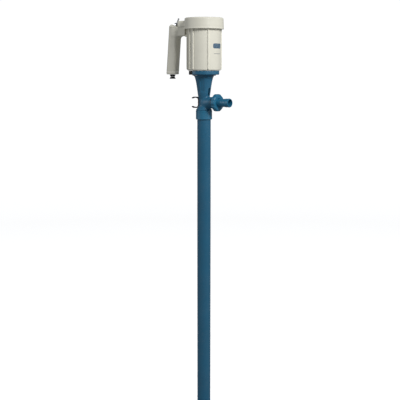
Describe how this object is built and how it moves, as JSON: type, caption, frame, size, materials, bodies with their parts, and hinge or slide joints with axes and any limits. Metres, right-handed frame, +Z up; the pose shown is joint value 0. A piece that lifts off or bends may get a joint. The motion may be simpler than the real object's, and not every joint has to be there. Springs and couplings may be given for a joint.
{
  "type": "electric drum pump",
  "caption": "Electric drum pump: a motor with a side grip on a plastic head with a hose barb, over a long slim immersion tube with the impeller at its foot.",
  "frame": {"origin": "on the tube's axis, in the plane of the tube nut's underside, where the pump bears on a drum's bung adapter", "axes": "+Z up along the tube towards the motor, +X along the discharge branch, -X towards the handle"},
  "size_m": [0.2407, 0.121, 1.312],
  "materials": {
    "cream_plastic": "fine-textured moulded glass-filled nylon, cream",
    "blue_plastic": "smooth moulded and extruded polypropylene, blue",
    "black_plastic": "fine-textured black nylon",
    "chrome": "bright nickel-chrome plate",
    "seal_rubber": "black elastomer",
    "natural_plastic": "natural polypropylene",
    "carbon": "carbon-filled bearing and brush material",
    "steel": "ground stainless steel",
    "spring_steel": "black-coated spring steel strip",
    "cast_alloy": "die-cast aluminium",
    "lamination": "stacked silicon-steel laminations, varnished",
    "copper": "varnished copper, modelled with the density of brass",
    "brass": "pressed brass"
  },
  "bodies": {
    "pump_body": {"motor_housing": "cream_plastic", "top_cover": "cream_plastic", "handle_shell_left": "cream_plastic", "handle_shell_right": "cream_plastic", "grip_end_cap": "cream_plastic", "gland_nut": "black_plastic", "cable_gland": "black_plastic", "switch_body": "black_plastic", "switch_nut": "chrome", "outer_tube": "blue_plastic", "impeller_housing": "blue_plastic", "suction_foot": "blue_plastic", "pump_head": "blue_plastic", "hose_barb": "blue_plastic", "tube_seal": "seal_rubber", "shaft_seal": "seal_rubber", "discharge_seal": "seal_rubber", "inner_column": "natural_plastic", "shaft_bush_1": "carbon", "shaft_bush_2": "carbon", "shaft_bush_3": "carbon", "brush_front": "carbon", "brush_rear": "carbon", "upper_bearing": "steel", "lower_bearing": "steel", "clip_screw": "steel", "spring_clip": "spring_steel", "bearing_bracket": "cast_alloy", "stator_core": "lamination", "stator_coil_upper": "copper", "stator_coil_lower": "copper", "brush_holder_front": "brass", "brush_holder_rear": "brass", "brush_spring_front": "steel", "brush_spring_rear": "steel", "head_screw_1": "steel", "cover_screw_1": "steel", "head_screw_2": "steel", "cover_screw_2": "steel", "head_screw_3": "steel", "cover_screw_3": "steel", "head_screw_4": "steel", "cover_screw_4": "steel", "grip_screw_1": "steel", "grip_screw_2": "steel"},
    "motor_rotor": {"motor_shaft": "steel", "armature_core": "lamination", "armature_coil_upper": "copper", "armature_coil_lower": "copper", "commutator": "copper", "cooling_fan": "black_plastic", "motor_coupling": "steel"},
    "pump_rotor": {"pump_shaft": "steel", "pump_coupling": "steel", "coupling_spider": "seal_rubber", "impeller": "natural_plastic"},
    "toggle": {"toggle_lever": "chrome"},
    "latch": {"latch_block": "black_plastic"},
    "union_nut_body": {"union_nut": "blue_plastic"},
    "tube_nut_body": {"tube_nut": "blue_plastic"}
  },
  "joints": [
    {"name": "motor_spin", "type": "hinge", "parent": "pump_body", "child": "motor_rotor", "pos_m": [0, 0, 0.2], "axis": [0, 0, 1], "continuous": true},
    {"name": "pump_spin", "type": "hinge", "parent": "pump_body", "child": "pump_rotor", "pos_m": [0, 0, 0.09], "axis": [0, 0, 1], "continuous": true},
    {"name": "toggle_flip", "type": "hinge", "parent": "pump_body", "child": "toggle", "pos_m": [-0.10897, 0, 0.29281], "axis": [0, 1, 0], "range_deg": [-30, 0]},
    {"name": "latch_press", "type": "slide", "parent": "pump_body", "child": "latch", "axis": [0.454, 0.891, 0], "range_m": [0, 0.003], "stiffness_N_per_m": 300},
    {"name": "union_nut_turn", "type": "hinge", "parent": "pump_body", "child": "union_nut_body", "pos_m": [0.051, 0, 0.052], "axis": [1, 0, 0], "range_deg": [0, 360]},
    {"name": "tube_nut_turn", "type": "hinge", "parent": "pump_body", "child": "tube_nut_body", "pos_m": [0, 0, 0.0137], "axis": [0, 0, 1], "range_deg": [-360, 0]}
  ],
  "couplings": [
    {"joint": "pump_spin", "follows": "motor_spin", "ratio": 1}
  ]
}
